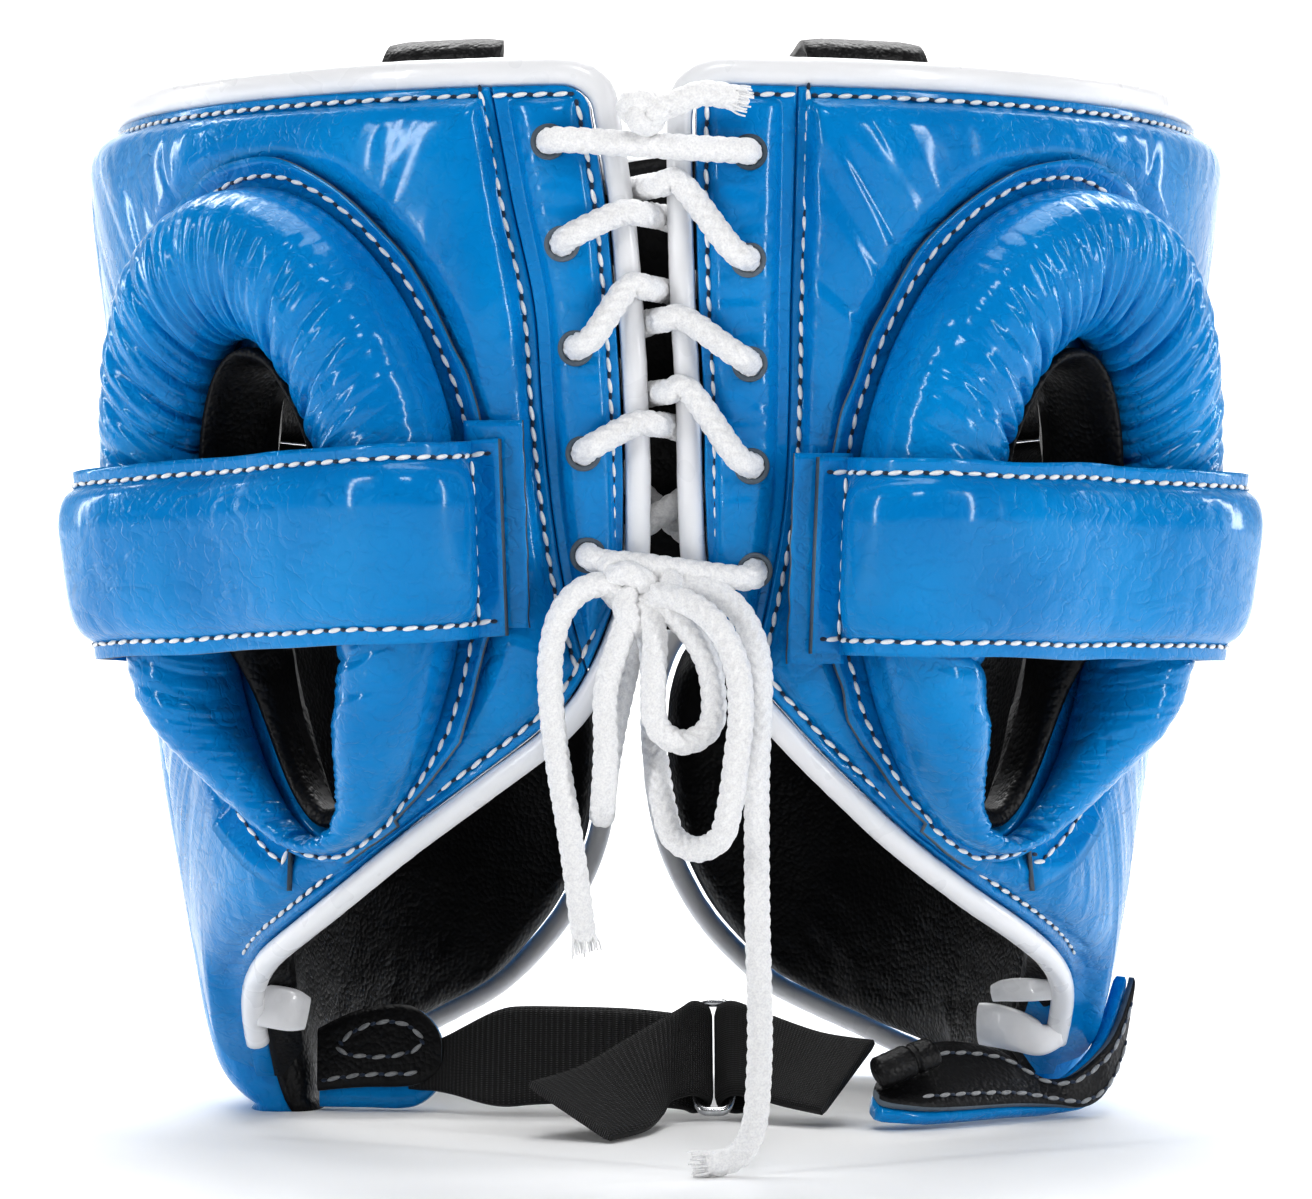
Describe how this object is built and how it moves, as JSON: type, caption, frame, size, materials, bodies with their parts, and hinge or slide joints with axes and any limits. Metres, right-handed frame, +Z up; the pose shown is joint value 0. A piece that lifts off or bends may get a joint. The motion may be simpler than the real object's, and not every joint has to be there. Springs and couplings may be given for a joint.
{
  "type": "padded boxing headgear with cheek guards",
  "caption": "Padded leather sparring headgear with cheek guards, ear rings crossed by straps, a laced back and a webbing chin strap; open at crown, face and nape.",
  "frame": {"origin": "bottom centre of the headgear's box, on the floor it rests on", "axes": "+X to the wearer's right, +Y the way the wearer faces, +Z up"},
  "size_m": [0.2436, 0.2508, 0.2228],
  "materials": {
    "blue_leather": "gloss",
    "black_leather": "satin",
    "white_binding": "gloss",
    "white_lace": "matte",
    "black_webbing": "matte",
    "steel_wire": "polished"
  },
  "bodies": {
    "root": {"lace_panel_left": "blue_leather", "lace_panel_right": "blue_leather", "side_panel_left": "blue_leather", "side_panel_right": "blue_leather", "ear_guard_left": "blue_leather", "ear_guard_right": "blue_leather", "ear_strap_left": "blue_leather", "ear_strap_right": "blue_leather", "cheek_pad_left": "blue_leather", "cheek_pad_right": "blue_leather", "forehead_pad": "blue_leather", "chin_flap_left": "blue_leather", "chin_flap_right": "blue_leather", "lining_lace_left": "black_leather", "lining_lace_right": "black_leather", "lining_side_left": "black_leather", "lining_side_right": "black_leather", "lining_cheek_left": "black_leather", "lining_cheek_right": "black_leather", "lining_forehead": "black_leather", "ear_sleeve_left": "black_leather", "ear_sleeve_right": "black_leather", "crown_strap_left": "black_leather", "crown_strap_right": "black_leather", "chin_patch_left": "black_leather", "chin_patch_right": "black_leather", "chin_keeper": "black_leather", "lace_tongue": "black_leather", "binding_rim": "white_binding", "binding_face": "white_binding", "lace": "white_lace", "lace_end_left": "white_lace", "lace_end_right": "white_lace", "lace_loop_left": "white_lace", "lace_loop_middle": "white_lace", "lace_loop_right": "white_lace", "lace_top_end": "white_lace", "lace_knot": "white_lace", "lace_top_knot": "white_lace", "chin_webbing": "black_webbing", "chin_webbing_anchor": "black_webbing", "chin_ring": "steel_wire"}
  },
  "joints": []
}
